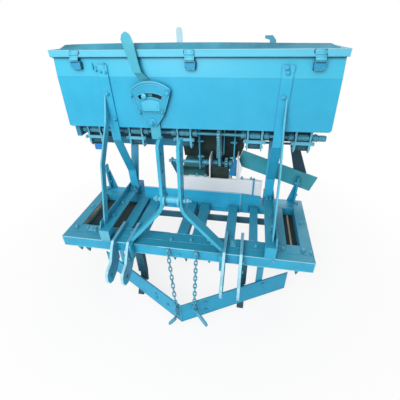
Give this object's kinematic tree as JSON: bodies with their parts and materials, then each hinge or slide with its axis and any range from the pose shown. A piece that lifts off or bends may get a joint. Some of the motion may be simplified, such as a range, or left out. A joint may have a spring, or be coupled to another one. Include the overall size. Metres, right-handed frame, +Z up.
{
  "type": "tractor-mounted seed drill",
  "caption": "Tractor-mounted seed and fertiliser drill with a full-width hopper, tine frame, three-point hitch, ground drive wheel and V-shaped levelling board.",
  "frame": {"origin": "bottom centre of the whole machine, on the ground", "axes": "+X to the right seen from the tractor, +Y to the rear, +Z up"},
  "size_m": [1.635, 1.5555, 1.6],
  "materials": {
    "frame_blue": "satin",
    "dark_blue": "satin",
    "hopper_blue": "satin",
    "lid_blue": "satin",
    "pale_paint": "satin",
    "cup_blue": "gloss",
    "housing_blue": "satin",
    "shaft_blue": "satin",
    "steel": "satin",
    "chain_steel": "matte",
    "wheel_paint": "matte"
  },
  "bodies": {
    "frame": {"front_beam": "frame_blue", "front_tine_bar": "frame_blue", "end_members": "frame_blue", "rear_beam": "frame_blue", "rear_tine_bar": "frame_blue", "inner_members": "frame_blue", "cross_bar": "dark_blue", "rear_channel": "frame_blue", "drive_beam": "pale_paint", "beam_clamp": "frame_blue", "box_rails": "frame_blue", "box_straps": "frame_blue", "strap_braces": "frame_blue", "rear_legs": "frame_blue", "hitch_plates": "frame_blue", "mast": "frame_blue", "mast_spacer": "steel", "hopper_body": "hopper_blue", "lid_hinges": "hopper_blue", "latch_pockets": "hopper_blue", "rate_sector": "hopper_blue", "rear_rail": "housing_blue", "metering_front": "housing_blue", "metering_rear": "housing_blue", "shaft_link_case": "housing_blue", "seed_cup": "cup_blue", "drive_hangers": "frame_blue", "shaft_brackets": "pale_paint", "drive_chains": "chain_steel", "wheel_arms": "frame_blue", "tines_front": "dark_blue", "tines_rear": "dark_blue", "beam_straps": "frame_blue", "v_board": "frame_blue", "board_hangers": "frame_blue", "rear_brackets": "frame_blue", "rear_board": "frame_blue", "rear_stay": "frame_blue", "rear_levers": "pale_paint", "hitch_chains": "chain_steel"},
    "lid": {"hopper_lid": "lid_blue", "lid_hasps": "hopper_blue"},
    "lever": {"rate_lever": "hopper_blue"},
    "front_shaft": {"feed_shaft_front": "shaft_blue"},
    "rear_shaft": {"feed_shaft_rear": "shaft_blue"},
    "middle_shaft": {"counter_shaft": "steel"},
    "wheel": {"ground_wheel": "wheel_paint", "wheel_axle": "steel"}
  },
  "joints": [
    {"name": "lid_hinge", "type": "hinge", "parent": "frame", "child": "lid", "pos_m": [-0.0365, 0.30877, 1.477], "axis": [-1, 0, 0], "range_deg": [0, 90]},
    {"name": "rate_lever_swing", "type": "hinge", "parent": "frame", "child": "lever", "pos_m": [-0.2475, -0.15123, 1.14], "axis": [0, 1, 0], "range_deg": [-6, 16]},
    {"name": "ground_wheel_spin", "type": "hinge", "parent": "frame", "child": "wheel", "pos_m": [-0.0965, 0.43277, 0.345], "axis": [1, 0, 0], "continuous": true},
    {"name": "middle_shaft_spin", "type": "hinge", "parent": "frame", "child": "middle_shaft", "pos_m": [-0.0365, 0.06977, 0.78], "axis": [1, 0, 0], "continuous": true},
    {"name": "front_shaft_spin", "type": "hinge", "parent": "frame", "child": "front_shaft", "pos_m": [-0.0365, -0.05223, 1.04], "axis": [1, 0, 0], "continuous": true},
    {"name": "rear_shaft_spin", "type": "hinge", "parent": "frame", "child": "rear_shaft", "pos_m": [-0.0365, 0.12977, 1.04], "axis": [1, 0, 0], "continuous": true}
  ],
  "couplings": [
    {"joint": "middle_shaft_spin", "follows": "ground_wheel_spin", "ratio": 2},
    {"joint": "front_shaft_spin", "follows": "ground_wheel_spin", "ratio": 2},
    {"joint": "rear_shaft_spin", "follows": "ground_wheel_spin", "ratio": 2}
  ]
}
